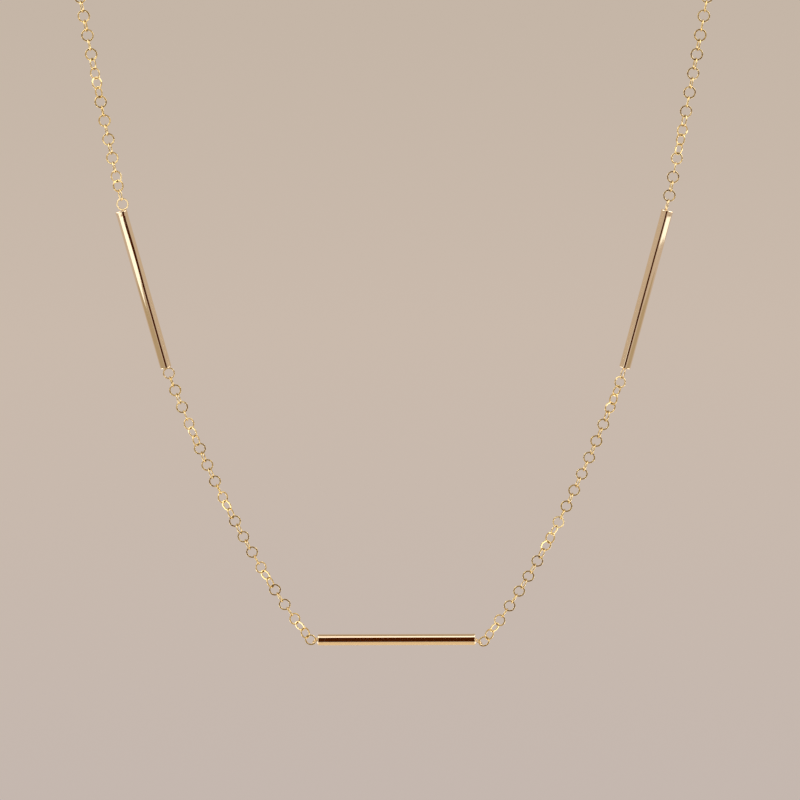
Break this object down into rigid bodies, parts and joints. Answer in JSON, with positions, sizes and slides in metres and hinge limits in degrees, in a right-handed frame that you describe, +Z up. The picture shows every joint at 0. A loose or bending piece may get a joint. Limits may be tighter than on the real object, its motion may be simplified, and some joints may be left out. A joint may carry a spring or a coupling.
{
  "type": "bar pendant necklace",
  "caption": "Fine gold-coloured cable chain necklace with slim closed tube bars joined into the front by soldered end loops, and a ring clasp at the nape.",
  "frame": {"origin": "on the chain's line at the nape, in the middle plane of the necklace, where it hangs on the neck", "axes": "+Z up, the front of the necklace faces -Y, +X to the right seen from the front"},
  "size_m": [0.1001, 0.0503, 0.1416],
  "materials": {
    "bar_gold": "polished, pale yellow gold plating",
    "chain_gold": "polished drawn wire, pale yellow gold plating",
    "clasp_gold": "polished, pale yellow gold plating"
  },
  "bodies": {
    "root": {"bar_centre": "bar_gold", "bar_left": "bar_gold", "bar_right": "bar_gold", "chain_lower_left": "chain_gold", "chain_lower_right": "chain_gold", "chain_upper_left": "chain_gold", "chain_upper_right": "chain_gold", "clasp": "clasp_gold", "end_ring": "clasp_gold"}
  },
  "joints": []
}
